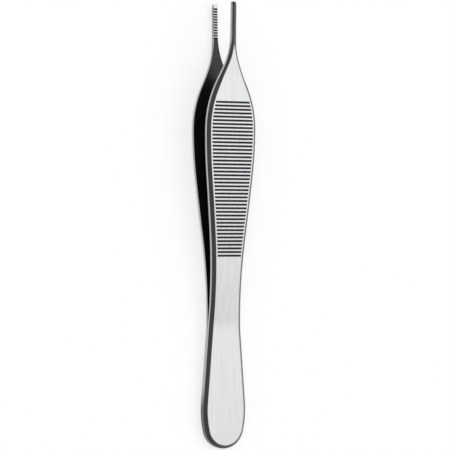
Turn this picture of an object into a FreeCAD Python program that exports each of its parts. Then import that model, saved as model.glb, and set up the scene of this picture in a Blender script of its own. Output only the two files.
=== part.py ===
import FreeCAD, Part
import math
import os
import Sketcher

# Thumb forceps with slender serrated tips, in millimetres: two equal spring-steel arms, welded
# heel to heel. Each arm is drawn with its heel's inner face on z = 0, its tail at x = 0 and its tip
# along +x. One is then turned half a turn about the long axis, and the pair is leaned to lie on a
# table, tips forward: the lower arm rests on the end of its heel and on a small flat on its bow.

SIZES = [
    ("overall_length", 120.0, "tail to tip"),
    ("tail_to_heel", 10.4, "from the tail to the widest part of the heel"),
    ("heel_width", 12.8, "across the heel"),
    ("heel_thickness", 1.65, "one arm at the heel"),
    ("heel_to_waist", 31.6, "from the widest part of the heel to the waist"),
    ("waist_width", 9.0, "across the waist, the narrowest part"),
    ("grip_width", 14.8, "across the widest part of the grip"),
    ("grip_thickness", 1.8, "one arm at the grip"),
    ("grip_to_crest", 5.9, "from the widest part of the grip to the crest of its bow"),
    ("crest_to_neck", 7.9, "from the crest to the bend before the tips"),
    ("neck_length", 7.0, "from the bend before the tips to the root of the tips"),
    ("tip_length", 13.5, "from the root of the tips to their ends"),
    ("grip_to_nose", 22.8, "from the widest part of the grip to the blade's nose"),
    ("nose_to_flare", 2.9, "from the blade's nose to where the ground tip runs straight"),
    ("tail_to_part", 30.9, "from the tail to where the arms begin to part"),
    ("crest_gap", 3.4, "half the gap between the arms at the crest"),
    ("root_gap", 4.45, "half the gap between the roots of the tips"),
    ("root_thickness", 1.6, "one arm at the root of its tip"),
    ("tip_gap", 4.85, "half the gap between the open tips"),
    ("tip_thickness", 1.45, "one tip at its end"),
    ("tip_width", 1.2, "across a tip"),
    ("neck_bend_reach", 2.24, "from the corner of the bend before the tips to its ends"),
    ("root_bend_reach", 2.39, "from the corner of the bend at the tips' root to its ends"),
    ("tip_corner_radius", 0.45, "corners of a tip's end, seen from above"),
    ("tip_nose_radius", 1.1, "rounding of a tip's end, seen from the side"),
    ("flare_radius", 22.8, "hollow curve from the tip into the blade"),
    ("flare_angle", 25.3, "slope of the ground flanks of the tip, in degrees"),
    ("bevel", 0.9, "bevel round the outer face"),
    ("blade_nose_width", 2.3, "across the blade's nose before the tip is ground from it"),
    ("crest_to_groove", 1.4, "from the crest to the foremost groove"),
    ("groove_pitch", 0.978, "from groove to groove"),
    ("groove_count", 43, "grooves across each grip"),
    ("groove_width", 0.56, "across a groove at the surface"),
    ("groove_depth", 0.28, "depth of a groove"),
    ("groove_inset", 1.25, "from the arm's side to the end of each groove"),
    ("panel_drop", 0.03, "from the outer face down to the metal between the grooves"),
    ("rest_flat_depth", 0.03, "depth of the small flat that a laid-down arm rests on, at the bow"),
    ("tip_to_serration", 1.0, "from a tip's end to its first serration"),
    ("serration_pitch", 0.72, "from serration to serration"),
    ("serration_count", 12, "serrations on each tip"),
    ("serration_width", 0.5, "across a serration at the surface"),
    ("serration_depth", 0.26, "depth of a serration"),
    ("cut_clearance", 1.0, "how far cutters and blanks reach past the finished arm"),
    ("heel_flank_fullness", 0.095, "heel's side"),
    ("waist_rear_fullness", 0.607, "waist's side, towards the heel"),
    ("waist_front_fullness", 0.484, "waist's side, towards the grip"),
    ("grip_rear_fullness", 0.387, "grip's side, towards the waist"),
    ("grip_front_fullness", 0.615, "grip's side, towards the nose"),
    ("nose_fullness", 0.268, "nose's side"),
    ("part_fullness", 0.077, "bend where the arms part, seen from the side"),
    ("bow_fullness", 0.806, "bow of the grip, seen from the side"),
]

# A swell joins two places where the outline runs along the arm, at two heights. Two arcs could just
# meet between them when their radii add up to the swell's limit. Each arc's fullness is its share
# of that limit, and a straight line joins the arcs.
DERIVED = [
    ("waist_place", "tail_to_heel + heel_to_waist", "from the tail to the waist"),
    ("root_place", "overall_length - tip_length", "from the tail to the root of the tips"),
    ("neck_place", "root_place - neck_length", "from the tail to the bend before the tips"),
    ("crest_place", "neck_place - crest_to_neck", "from the tail to the crest"),
    ("grip_place", "crest_place - grip_to_crest", "from the tail to the widest part of the grip"),
    ("nose_place", "grip_place + grip_to_nose", "from the tail to the blade's nose"),
    ("flare_place", "nose_place + nose_to_flare", "from the tail to where the tip runs straight"),
    ("heel_rise", "(heel_width - waist_width) / 2", "from the waist's side out to the heel's"),
    ("heel_limit", "(heel_to_waist^2 + heel_rise^2) / (2 * heel_rise)", "the heel's swell"),
    ("heel_flank_radius", "heel_flank_fullness * heel_limit", "long curve of the heel's side"),
    ("waist_rear_radius", "waist_rear_fullness * heel_limit", "hollow of the waist, heel side"),
    ("tail_radius", "(tail_to_heel^2 - heel_flank_radius * heel_width + heel_width^2 / 4)"
     " / (2 * (tail_to_heel - heel_flank_radius))", "round of the tail"),
    ("waist_to_grip", "grip_place - waist_place", "from the waist to the widest part of the grip"),
    ("grip_rise", "(grip_width - waist_width) / 2", "from the waist's side out to the grip's"),
    ("grip_limit", "(waist_to_grip^2 + grip_rise^2) / (2 * grip_rise)", "the grip's swell"),
    ("waist_front_radius", "waist_front_fullness * grip_limit", "hollow of the waist, grip side"),
    ("grip_rear_radius", "grip_rear_fullness * grip_limit", "long curve of the grip's side"),
    ("nose_fall", "(grip_width - blade_nose_width) / 2", "from the grip's side in to the nose's"),
    ("nose_limit", "(grip_to_nose^2 + nose_fall^2) / (2 * nose_fall)", "the blade's front swell"),
    ("grip_front_radius", "grip_front_fullness * nose_limit", "short curve before the widest part"),
    ("nose_radius", "nose_fullness * nose_limit", "hollow curve from the blade into its nose"),
    ("bow_height", "crest_gap + grip_thickness", "outer face at the crest, over the heel's inner face"),
    ("bow_rise", "bow_height - heel_thickness", "from the heel's outer face up to the crest's"),
    ("part_to_crest", "crest_place - tail_to_part", "from where the arms part to the crest"),
    ("bow_limit", "(part_to_crest^2 + bow_rise^2) / (2 * bow_rise)", "the bow's swell"),
    ("part_bend_radius", "part_fullness * bow_limit", "bend of each arm where they part"),
    ("bow_radius", "bow_fullness * bow_limit", "bow of the outer face over the grip"),
    ("tip_slope", "(tip_gap - root_gap) / tip_length", "rise of a tip's inner face"),
    ("nose_thickness",
     "tip_thickness + tip_nose_radius * (root_thickness - tip_thickness) / tip_length",
     "one tip where its end's rounding begins"),
    ("groove_place", "crest_place + crest_to_groove - groove_pitch * (groove_count - 1)",
     "from the tail to the rearmost groove"),
    ("rest_radius", "bow_radius - rest_flat_depth", "from the bow's centre to the flat"),
    ("heel_end_height", "heel_thickness + bow_radius - bow_height", "heel's end over bow's centre"),
    ("bow_from_heel_end", "crest_place - bevel", "from the heel's end to the bow's centre"),
    ("lean", "asin(rest_radius / sqrt(heel_end_height^2 + bow_from_heel_end^2))"
     " - atan(heel_end_height / bow_from_heel_end)", "slope of an arm on its heel's end and flat"),
    ("beside", "grip_width / 2 + cut_clearance", "clear of the arm's side"),
    ("past_end", "overall_length + cut_clearance", "clear of the tip's end"),
    ("past_tip_gap", "tip_gap + tip_slope * cut_clearance", "inner face carried past the tip"),
]

SHEET_ROWS_BEFORE_SIZES = 1
ORIGIN_POINT = (-1, 1)
X_AXIS_LINE = -1
Y_AXIS_LINE = -2
START, END, CENTRE = 1, 2, 3
SMALLEST = 1e-7
NEAR = 1e-4
CUTTER_STANDS_PROUD = 0.25
PANEL_CUTTER_STANDS_PROUD = 0.15
FACES_UP = 0.7
FACES_SIDEWAYS = 0.1


def make_sheet(doc):
    """Puts the driving sizes and those that follow from them into a spreadsheet, with an alias each."""
    sheet = doc.addObject("Spreadsheet::Sheet", "sizes")
    for column, title in zip("ABC", ("size", "value", "what it is")):
        sheet.set(f"{column}1", title)
    rows = [(alias, str(value), note) for alias, value, note in SIZES]
    rows += [(alias, f"={formula}", note) for alias, formula, note in DERIVED]
    for row, (alias, content, note) in enumerate(rows, start=SHEET_ROWS_BEFORE_SIZES + 1):
        sheet.set(f"A{row}", alias)
        sheet.set(f"B{row}", content)
        sheet.set(f"C{row}", note)
        sheet.setAlias(f"B{row}", alias)
        sheet.recompute()
    return sheet


class Drawing:
    """A sketch on one of a body's own origin planes, whose points and radii follow the spreadsheet."""

    def __init__(self, body, name, plane):
        self.sketch = body.newObject("Sketcher::SketchObject", name)
        support = next(f for f in body.Origin.OriginFeatures if f.Role == plane)
        self.sketch.AttachmentSupport = [(support, "")]
        self.sketch.MapMode = "FlatFace"

    def move_to(self, x, y, angle):
        """Shifts and turns the sketch on its plane."""
        offset = ".AttachmentOffset."
        self.sketch.setExpression(offset + "Base.x", x)
        self.sketch.setExpression(offset + "Base.y", y)
        self.sketch.setExpression(offset + "Rotation.Angle", angle)

    def value(self, expression):
        """The number that an expression on the spreadsheet gives now."""
        return float(self.sketch.evalExpression(f"({expression}) * 1"))

    def bind(self, kind, items, expression):
        """Adds a dimension and ties it to an expression."""
        constraint = Sketcher.Constraint(kind, *items, self.value(expression))
        index = self.sketch.addConstraint(constraint)
        self.sketch.setExpression(f"Constraints[{index}]", expression)

    def pin(self, geometry, place, x, y):
        """Holds one point of a line or an arc at (x, y)."""
        ways = (("DistanceX", Y_AXIS_LINE, x), ("DistanceY", X_AXIS_LINE, y))
        for kind, axis, expression in ways:
            number = self.value(expression)
            if number > SMALLEST:
                self.bind(kind, (*ORIGIN_POINT, geometry, place), expression)
            elif number < -SMALLEST:
                self.bind(kind, (geometry, place, *ORIGIN_POINT), f"-({expression})")
            else:
                on_axis = Sketcher.Constraint("PointOnObject", geometry, place, axis)
                self.sketch.addConstraint(on_axis)

    def join(self, kind, first, first_place, second, second_place):
        """Makes two end points meet, smoothly where kind is Tangent."""
        meeting = Sketcher.Constraint(kind, first, first_place, second, second_place)
        self.sketch.addConstraint(meeting)

    def line(self, start, end):
        """Adds a straight line between two points given as numbers."""
        segment = Part.LineSegment(FreeCAD.Vector(*start, 0), FreeCAD.Vector(*end, 0))
        return self.sketch.addGeometry(segment, False)

    def arc(self, centre, radius, start, end):
        """Adds an arc that runs anticlockwise from start to end."""
        angles = [math.atan2(p[1] - centre[1], p[0] - centre[0]) for p in (start, end)]
        circle = Part.Circle(FreeCAD.Vector(*centre, 0), FreeCAD.Vector(0, 0, 1), radius)
        return self.sketch.addGeometry(Part.ArcOfCircle(circle, *angles), False)

    def polygon(self, corners):
        """Adds a closed outline of straight lines through corners given as pairs of expressions."""
        points = [(self.value(x), self.value(y)) for x, y in corners]
        lines = [self.line(p, points[(i + 1) % len(points)]) for i, p in enumerate(points)]
        for i, index in enumerate(lines):
            self.join("Coincident", index, END, lines[(i + 1) % len(lines)], START)
            self.pin(index, START, *corners[i])
        return lines

    def point(self, x, y):
        """The point that two expressions give now."""
        return (self.value(x), self.value(y))

    def arc_between(self, enter, corner, leave):
        """Adds the arc that rounds a corner between two points that lie equally far from it."""
        toward = (leave[0] + enter[0] - 2 * corner[0], leave[1] + enter[1] - 2 * corner[1])
        back = (enter[0] - corner[0], enter[1] - corner[1])
        scale = (back[0] ** 2 + back[1] ** 2) / (toward[0] * back[0] + toward[1] * back[1])
        centre = (corner[0] + scale * toward[0], corner[1] + scale * toward[1])
        radius = math.hypot(enter[0] - centre[0], enter[1] - centre[1])
        ends = (enter, leave) if cross(enter, corner, leave) > 0 else (leave, enter)
        return self.arc(centre, radius, *ends)

    def hold_arc(self, arc, centre, radius):
        """Ties an arc's centre and radius to expressions."""
        self.pin(arc, CENTRE, *centre)
        self.bind("Radius", (arc,), radius)

    def close(self, first, first_place, second, second_place):
        """Joins two loose ends with a straight line."""
        names = {START: "StartPoint", END: "EndPoint"}
        ends = [getattr(self.sketch.Geometry[geometry], names[place])
                for geometry, place in ((first, first_place), (second, second_place))]
        cap = self.line((ends[0].x, ends[0].y), (ends[1].x, ends[1].y))
        self.join("Coincident", first, first_place, cap, START)
        self.join("Coincident", second, second_place, cap, END)

    def path(self, corners):
        """Adds straight lines through corners given as pairs of expressions, all held but the first."""
        points = [(self.value(x), self.value(y)) for x, y in corners]
        lines = [self.line(p, q) for p, q in zip(points, points[1:])]
        for i, index in enumerate(lines):
            self.pin(index, END, *corners[i + 1])
            if i:
                self.join("Coincident", lines[i - 1], END, index, START)
        return lines


def cross(first, corner, last):
    """Above zero where the way from first over corner to last turns left."""
    return ((corner[0] - first[0]) * (last[1] - corner[1])
            - (corner[1] - first[1]) * (last[0] - corner[0]))


def tangent_points(first, first_radius, second, second_radius):
    """Ends of the straight line that leaves the first circle and crosses over to the second one."""
    across, along = second[0] - first[0], second[1] - first[1]
    swing = math.acos((first_radius + second_radius) / math.hypot(across, along))
    for turn in (swing, -swing):
        angle = math.atan2(along, across) + turn
        way = (math.cos(angle), math.sin(angle))
        leave = (first[0] + first_radius * way[0], first[1] + first_radius * way[1])
        meet = (second[0] - second_radius * way[0], second[1] - second_radius * way[1])
        if leave[0] < meet[0]:
            return leave, meet
    raise ValueError("the outline's curves leave no room for the line between them")


def along(corner, other, reach):
    """Expressions of the point that lies this far from a corner, towards another one."""
    (x, y), (other_x, other_y) = corner, other
    span = f"sqrt(({other_x} - ({x}))^2 + ({other_y} - ({y}))^2)"
    return (f"{x} + {reach} * ({other_x} - ({x})) / {span}",
            f"{y} + {reach} * ({other_y} - ({y})) / {span}")


def draw_rounded_path(drawing, corners, reaches):
    """Draws lines through corners and rounds each inner one with an arc of this reach on both lines."""
    start = corners[0]
    last_line = last_bend = None
    first_line = None
    for i, reach in enumerate(reaches, start=1):
        before, after = (along(corners[i], corners[j], reach) for j in (i - 1, i + 1))
        line = drawing.path([start, before])[0]
        if last_line is None:
            first_line = line
        else:
            drawing.join("Coincident", last_bend[0], last_bend[1], line, START)
        leave, enter = drawing.point(*after), drawing.point(*before)
        corner = drawing.point(*corners[i])
        turns_left = cross(enter, corner, leave) > 0
        bend = drawing.arc_between(enter, corner, leave)
        bend_in, bend_out = (START, END) if turns_left else (END, START)
        drawing.join("Tangent", line, END, bend, bend_in)
        drawing.pin(bend, bend_out, *after)
        start, last_line, last_bend = after, line, (bend, bend_out)
    end_line = drawing.path([start, corners[-1]])[0]
    drawing.join("Coincident", last_bend[0], last_bend[1], end_line, START)
    return first_line, end_line


def draw_side_profile(drawing):
    """Draws the arm from the side: inner face, tip end, outer face and heel end."""
    bow = ("sizes.crest_place", "sizes.bow_height - sizes.bow_radius")
    bend_radius = drawing.value("sizes.part_bend_radius")
    faces = []
    for crest, radius, heel, root, tip in (
        ("sizes.crest_gap", "sizes.bow_radius - sizes.grip_thickness", "0", "sizes.root_gap",
         "sizes.past_tip_gap"),
        ("sizes.bow_height", "sizes.bow_radius", "sizes.heel_thickness",
         "sizes.root_gap + sizes.root_thickness", "sizes.past_tip_gap + sizes.tip_thickness"),
    ):
        heel_line = drawing.path([("-sizes.cut_clearance", heel), ("sizes.tail_to_part", heel)])[0]
        bend_start = drawing.point("sizes.tail_to_part", heel)
        bend_centre = (bend_start[0], bend_start[1] + bend_radius)
        centre = drawing.point(*bow)
        leave, meet = tangent_points(bend_centre, bend_radius, centre, drawing.value(radius))
        bend = drawing.arc(bend_centre, bend_radius, bend_start, leave)
        ramp = drawing.line(leave, meet)
        arch_start = drawing.point("sizes.crest_place", crest)
        arch = drawing.arc(centre, drawing.value(radius), arch_start, meet)
        crest_line, tip_line = draw_rounded_path(
            drawing,
            [("sizes.crest_place", crest), ("sizes.neck_place", crest), ("sizes.root_place", root),
             ("sizes.past_end", tip)],
            ["sizes.neck_bend_reach", "sizes.root_bend_reach"],
        )
        drawing.pin(heel_line, START, "-sizes.cut_clearance", heel)
        drawing.join("Tangent", heel_line, END, bend, START)
        drawing.bind("Radius", (bend,), "sizes.part_bend_radius")
        drawing.join("Tangent", bend, END, ramp, START)
        drawing.join("Tangent", ramp, END, arch, END)
        drawing.hold_arc(arch, bow, radius)
        drawing.join("Coincident", arch, START, crest_line, START)
        drawing.bind("DistanceX", (*ORIGIN_POINT, arch, START), "sizes.crest_place")
        faces.append((heel_line, tip_line))
    (inner_heel, inner_tip_line), (outer_heel, outer_tip_line) = faces
    drawing.close(inner_tip_line, END, outer_tip_line, END)
    drawing.close(inner_heel, START, outer_heel, START)


def draw_flank(drawing, inset, rear_end, front_end):
    """Draws the arm's side from the heel to the front of the grip, this far inside the finished side."""
    heel = ("sizes.tail_to_heel", "sizes.heel_width / 2 - sizes.heel_flank_radius")
    waist_rear = ("sizes.waist_place", "sizes.waist_width / 2 + sizes.waist_rear_radius")
    waist_front = ("sizes.waist_place", "sizes.waist_width / 2 + sizes.waist_front_radius")
    rear = ("sizes.grip_place", "sizes.grip_width / 2 - sizes.grip_rear_radius")
    front = ("sizes.grip_place", "sizes.grip_width / 2 - sizes.grip_front_radius")
    centres = (heel, waist_rear, waist_front, rear, front)
    radii = (f"sizes.heel_flank_radius - {inset}", f"sizes.waist_rear_radius + {inset}",
             f"sizes.waist_front_radius + {inset}", f"sizes.grip_rear_radius - {inset}",
             f"sizes.grip_front_radius - {inset}")
    points = [drawing.point(*centre) for centre in centres]
    sizes = [drawing.value(radius) for radius in radii]
    heel_leave, waist_meet = tangent_points(points[0], sizes[0], points[1], sizes[1])
    waist_leave, grip_meet = tangent_points(points[2], sizes[2], points[3], sizes[3])
    narrowest = drawing.point("sizes.waist_place", f"sizes.waist_width / 2 - {inset}")
    widest = drawing.point("sizes.grip_place", f"sizes.grip_width / 2 - {inset}")
    heel_line = drawing.line(heel_leave, waist_meet)
    grip_line = drawing.line(waist_leave, grip_meet)
    spans = ((heel_leave, rear_end), (waist_meet, narrowest), (narrowest, waist_leave),
             (widest, grip_meet), (front_end, widest))
    arcs = [drawing.arc(point, size, *span) for point, size, span in zip(points, sizes, spans)]
    for arc, centre, radius in zip(arcs, centres, radii):
        drawing.hold_arc(arc, centre, radius)
    heel_arc, waist_rear_arc, waist_front_arc, rear_arc, front_arc = arcs
    drawing.join("Tangent", heel_arc, START, heel_line, START)
    drawing.join("Tangent", heel_line, END, waist_rear_arc, START)
    drawing.join("Tangent", waist_front_arc, END, grip_line, START)
    drawing.join("Tangent", grip_line, END, rear_arc, END)
    for arc, place, station in (
        (waist_rear_arc, END, "sizes.waist_place"),
        (waist_front_arc, START, "sizes.waist_place"),
        (rear_arc, START, "sizes.grip_place"),
        (front_arc, END, "sizes.grip_place"),
    ):
        drawing.bind("DistanceX", (*ORIGIN_POINT, arc, place), station)
    return heel_arc, front_arc


def draw_outside_of_blade(drawing):
    """Draws what is cut away beside the bevelled blade, on one side of the arm, tail to nose."""
    front = drawing.point("sizes.grip_place", "sizes.grip_width / 2 - sizes.grip_front_radius")
    nose = ("sizes.nose_place", "sizes.blade_nose_width / 2 + sizes.nose_radius")
    off, on = tangent_points(front, drawing.value("sizes.grip_front_radius"),
                             drawing.point(*nose), drawing.value("sizes.nose_radius"))
    heel_x, heel_y = drawing.point("sizes.tail_to_heel",
                                   "sizes.heel_width / 2 - sizes.heel_flank_radius")
    tail_radius = drawing.value("sizes.tail_radius")
    reach = drawing.value("sizes.heel_flank_radius") / math.hypot(tail_radius - heel_x, heel_y)
    shared = (heel_x + reach * (tail_radius - heel_x), heel_y * (1 - reach))
    heel_arc, front_arc = draw_flank(drawing, "0", shared, off)
    tail_arc = drawing.arc((tail_radius, 0), tail_radius, shared, (0, 0))
    front_line = drawing.line(off, on)
    nose_end = drawing.point("sizes.nose_place", "sizes.blade_nose_width / 2")
    nose_arc = drawing.arc(drawing.point(*nose), drawing.value("sizes.nose_radius"), on, nose_end)
    past_nose = ("sizes.past_end", "sizes.blade_nose_width / 2")
    nose_side = drawing.line(nose_end, drawing.point(*past_nose))
    border = drawing.path([
        past_nose,
        ("sizes.past_end", "sizes.beside"),
        ("-2 * sizes.cut_clearance", "sizes.beside"),
        ("-2 * sizes.cut_clearance", "0"),
        ("0", "0"),
    ])
    drawing.join("Coincident", *ORIGIN_POINT, tail_arc, END)
    on_axis = Sketcher.Constraint("PointOnObject", tail_arc, CENTRE, X_AXIS_LINE)
    drawing.sketch.addConstraint(on_axis)
    drawing.hold_arc(nose_arc, nose, "sizes.nose_radius")
    for first, first_place, second, second_place in (
        (tail_arc, START, heel_arc, END),
        (front_arc, START, front_line, START),
        (front_line, END, nose_arc, START),
        (nose_arc, END, nose_side, START),
    ):
        drawing.join("Tangent", first, first_place, second, second_place)
    drawing.join("Coincident", nose_side, END, border[0], START)
    drawing.bind("DistanceX", (*ORIGIN_POINT, nose_side, END), "sizes.past_end")


def draw_outside_of_groove_field(drawing):
    """Draws what is cut away from the groove cutters beside the field of grooves, on one side."""
    inset_radius = "(sizes.grip_front_radius - sizes.groove_inset)"
    front_end = ("sizes.grip_place + " + inset_radius + " * sin(sizes.flare_angle * 1 deg)",
                 "sizes.grip_width / 2 - sizes.grip_front_radius + " + inset_radius
                 + " * cos(sizes.flare_angle * 1 deg)")
    apex = (f"{front_end[0]} + ({front_end[1]}) / tan(sizes.flare_angle * 1 deg)", "0")
    rear_end = drawing.point("sizes.tail_to_heel", "sizes.heel_width / 2 - sizes.groove_inset")
    heel_arc, front_arc = draw_flank(drawing, "sizes.groove_inset", rear_end,
                                     drawing.point(*front_end))
    border = drawing.path([front_end, apex, (apex[0], "sizes.beside"),
                           ("sizes.tail_to_heel", "sizes.beside")])
    drawing.bind("DistanceX", (*ORIGIN_POINT, heel_arc, END), "sizes.tail_to_heel")
    drawing.bind("DistanceX", (*ORIGIN_POINT, front_arc, START), front_end[0])
    drawing.join("Coincident", front_arc, START, border[0], START)
    drawing.close(border[-1], END, heel_arc, END)


def draw_outside_of_tip(drawing):
    """Draws what is ground away beside the tip, on one side, from the blade's front edge to its end."""
    flare = ("sizes.flare_place", "sizes.tip_width / 2 + sizes.flare_radius")
    corner = ("sizes.overall_length - sizes.tip_corner_radius",
              "sizes.tip_width / 2 - sizes.tip_corner_radius")
    centre, radius = drawing.point(*flare), drawing.value("sizes.flare_radius")
    slope = math.radians(drawing.value("sizes.flare_angle"))
    off = (centre[0] - radius * math.sin(slope), centre[1] - radius * math.cos(slope))
    side, beside = drawing.value("sizes.tip_width / 2"), drawing.value("sizes.beside")
    far = (off[0] - (beside - off[1]) / math.tan(slope), beside)
    flare_line = drawing.line(far, off)
    flare_arc = drawing.arc(centre, radius, off, (centre[0], side))
    tip_side = drawing.line((centre[0], side), (drawing.value(corner[0]), side))
    end = drawing.point("sizes.overall_length", corner[1])
    corner_arc = drawing.arc(drawing.point(*corner), drawing.value("sizes.tip_corner_radius"),
                             end, (drawing.value(corner[0]), side))
    border = drawing.path([("sizes.overall_length", corner[1]), ("sizes.past_end", corner[1]),
                           ("sizes.past_end", "sizes.beside")])
    drawing.hold_arc(flare_arc, flare, "sizes.flare_radius")
    drawing.hold_arc(corner_arc, corner, "sizes.tip_corner_radius")
    drawing.join("Tangent", flare_line, END, flare_arc, START)
    drawing.join("Tangent", flare_arc, END, tip_side, START)
    drawing.join("Tangent", tip_side, END, corner_arc, END)
    drawing.join("Coincident", corner_arc, START, border[0], START)
    drawing.bind("DistanceY", (*ORIGIN_POINT, corner_arc, START), corner[1])
    drawing.bind("DistanceX", (*ORIGIN_POINT, flare_arc, START),
                 "sizes.flare_place - sizes.flare_radius * sin(sizes.flare_angle * 1 deg)")
    drawing.bind("DistanceY", (*ORIGIN_POINT, flare_line, START), "sizes.beside")
    drawing.close(border[-1], END, flare_line, START)


def draw_outside_of_nose(drawing):
    """Draws what is cut away round the tip's end, from the side, along the tip's own inner face."""
    centre = ("-sizes.tip_nose_radius", "sizes.nose_thickness - sizes.tip_nose_radius")
    top = ("-sizes.tip_nose_radius", "sizes.nose_thickness")
    above, below = "sizes.tip_thickness + sizes.cut_clearance", "-sizes.cut_clearance"
    past = "2 * sizes.cut_clearance"
    arc = drawing.arc(drawing.point(*centre), drawing.value("sizes.tip_nose_radius"),
                      drawing.point("0", centre[1]), drawing.point(*top))
    border = drawing.path([top, (top[0], above), (past, above), (past, below), ("0", below)])
    drawing.hold_arc(arc, centre, "sizes.tip_nose_radius")
    drawing.bind("DistanceX", (arc, END, *ORIGIN_POINT), "sizes.tip_nose_radius")
    drawing.bind("DistanceY", (*ORIGIN_POINT, arc, START), centre[1])
    drawing.join("Coincident", arc, END, border[0], START)
    drawing.close(border[-1], END, arc, START)


def draw_panel(drawing):
    """Draws the shallow layer taken off over the grooves, with the rearmost groove on top."""
    pitch_angle = "sizes.groove_pitch / sizes.bow_radius * 180 / pi * 1 deg"
    rear = f"{pitch_angle} / 2"
    front = f"{pitch_angle} * (sizes.groove_count - 0.5)"
    arcs = []
    for radius in ("sizes.bow_radius - sizes.panel_drop",
                   f"sizes.bow_radius + {PANEL_CUTTER_STANDS_PROUD}"):
        front_x, rear_x = f"({radius}) * sin({front})", f"-({radius}) * sin({rear})"
        start = drawing.point(front_x, f"({radius}) * cos({front})")
        end = drawing.point(rear_x, f"({radius}) * cos({rear})")
        arc = drawing.arc((0, 0), drawing.value(radius), start, end)
        drawing.join("Coincident", arc, CENTRE, *ORIGIN_POINT)
        drawing.bind("Radius", (arc,), radius)
        drawing.bind("DistanceX", (*ORIGIN_POINT, arc, START), front_x)
        drawing.bind("DistanceX", (arc, END, *ORIGIN_POINT), f"-({rear_x})")
        arcs.append(arc)
    for place in (START, END):
        drawing.close(arcs[0], place, arcs[1], place)


def draw_notch(drawing, along, surface, width, depth, inward):
    """Draws the V of one groove or serration, cut inward from a surface along the sketch's x."""
    half = f"{width} / 2 * {1 + CUTTER_STANDS_PROUD}"
    outside = f"{surface} - ({inward}) * {depth} * {CUTTER_STANDS_PROUD}"
    drawing.polygon([
        (f"{along} - {half}", outside),
        (f"{along} + {half}", outside),
        (along, f"{surface} + ({inward}) * {depth}"),
    ])


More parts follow.
